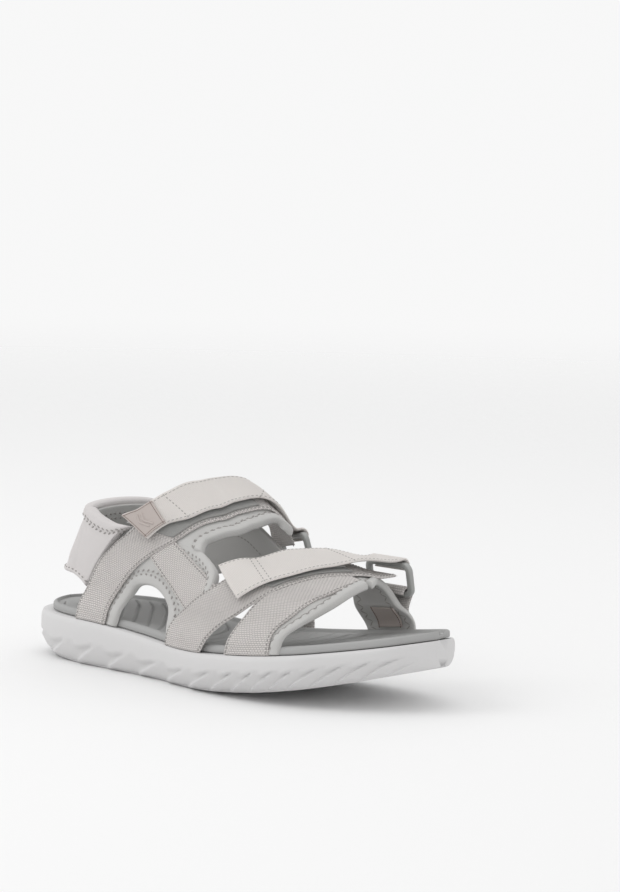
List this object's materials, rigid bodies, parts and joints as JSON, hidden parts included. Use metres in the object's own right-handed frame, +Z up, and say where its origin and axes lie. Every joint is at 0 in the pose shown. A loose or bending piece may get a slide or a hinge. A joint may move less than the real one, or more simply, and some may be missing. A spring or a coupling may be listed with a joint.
{
  "type": "strappy sport sandal",
  "caption": "Right-foot sport sandal: cushioned sole, padded heel collar, woven straps and two hook-and-loop flaps that fold round plastic rings.",
  "frame": {"origin": "middle of the bounding box at the underside, on the ground", "axes": "+X from heel to toe, +Y to the medial (inner) side of a right foot, +Z up"},
  "size_m": [0.258, 0.0964, 0.1031],
  "materials": {
    "foam": "satin",
    "rubber": "matte",
    "footbed": "matte",
    "board": "matte",
    "lining": "matte",
    "panel": "matte",
    "webbing": "matte",
    "flap": "matte",
    "tape": "matte",
    "patch": "satin",
    "plastic": "satin"
  },
  "bodies": {
    "shoe": {"heel_tread_insert": "rubber", "forefoot_tread_insert_1": "rubber", "forefoot_tread_insert_2": "rubber", "forefoot_tread_insert_3": "rubber", "forefoot_tread_insert_4": "rubber", "midsole": "foam", "lasting_board": "board", "footbed": "footbed", "lateral_quarter": "lining", "medial_quarter": "lining", "instep_pad": "lining", "forefoot_pad": "lining", "medial_forefoot_pad": "lining", "medial_forefoot_patch": "patch", "heel_collar": "panel", "heel_collar_lining": "lining", "side_panel_webbing": "webbing", "toe_leg_webbing": "webbing", "medial_rear_webbing": "webbing", "rear_leg_webbing": "webbing", "instep_keeper": "webbing", "instep_loop_tape": "tape", "front_leg_webbing": "webbing", "forefoot_keeper": "webbing", "forefoot_loop_tape": "tape"},
    "instep_ring": {"instep_ring": "plastic"},
    "instep_flap": {"instep_flap": "flap", "instep_hook_tape": "tape", "instep_tab_patch": "patch"},
    "forefoot_ring": {"forefoot_ring": "plastic"},
    "forefoot_flap": {"forefoot_flap": "flap", "forefoot_hook_tape": "tape"}
  },
  "joints": [
    {"name": "instep_ring_swing", "type": "hinge", "parent": "shoe", "child": "instep_ring", "pos_m": [0.00863, 0.03882, 0.0567], "axis": [-0.9129, 0.3652, -0.1826], "range_deg": [0, 12]},
    {"name": "instep_flap_open", "type": "hinge", "parent": "instep_ring", "child": "instep_flap", "pos_m": [0.005, 0.03697, 0.07114], "axis": [-0.9129, 0.3652, -0.1826], "range_deg": [0, 100]},
    {"name": "forefoot_ring_swing", "type": "hinge", "parent": "shoe", "child": "forefoot_ring", "pos_m": [0.06959, 0.04289, 0.04912], "axis": [-0.9925, 0.1203, -0.0201], "range_deg": [0, 12]},
    {"name": "forefoot_flap_open", "type": "hinge", "parent": "forefoot_ring", "child": "forefoot_flap", "pos_m": [0.069, 0.04047, 0.06391], "axis": [-0.9925, 0.1203, -0.0201], "range_deg": [0, 100]}
  ]
}
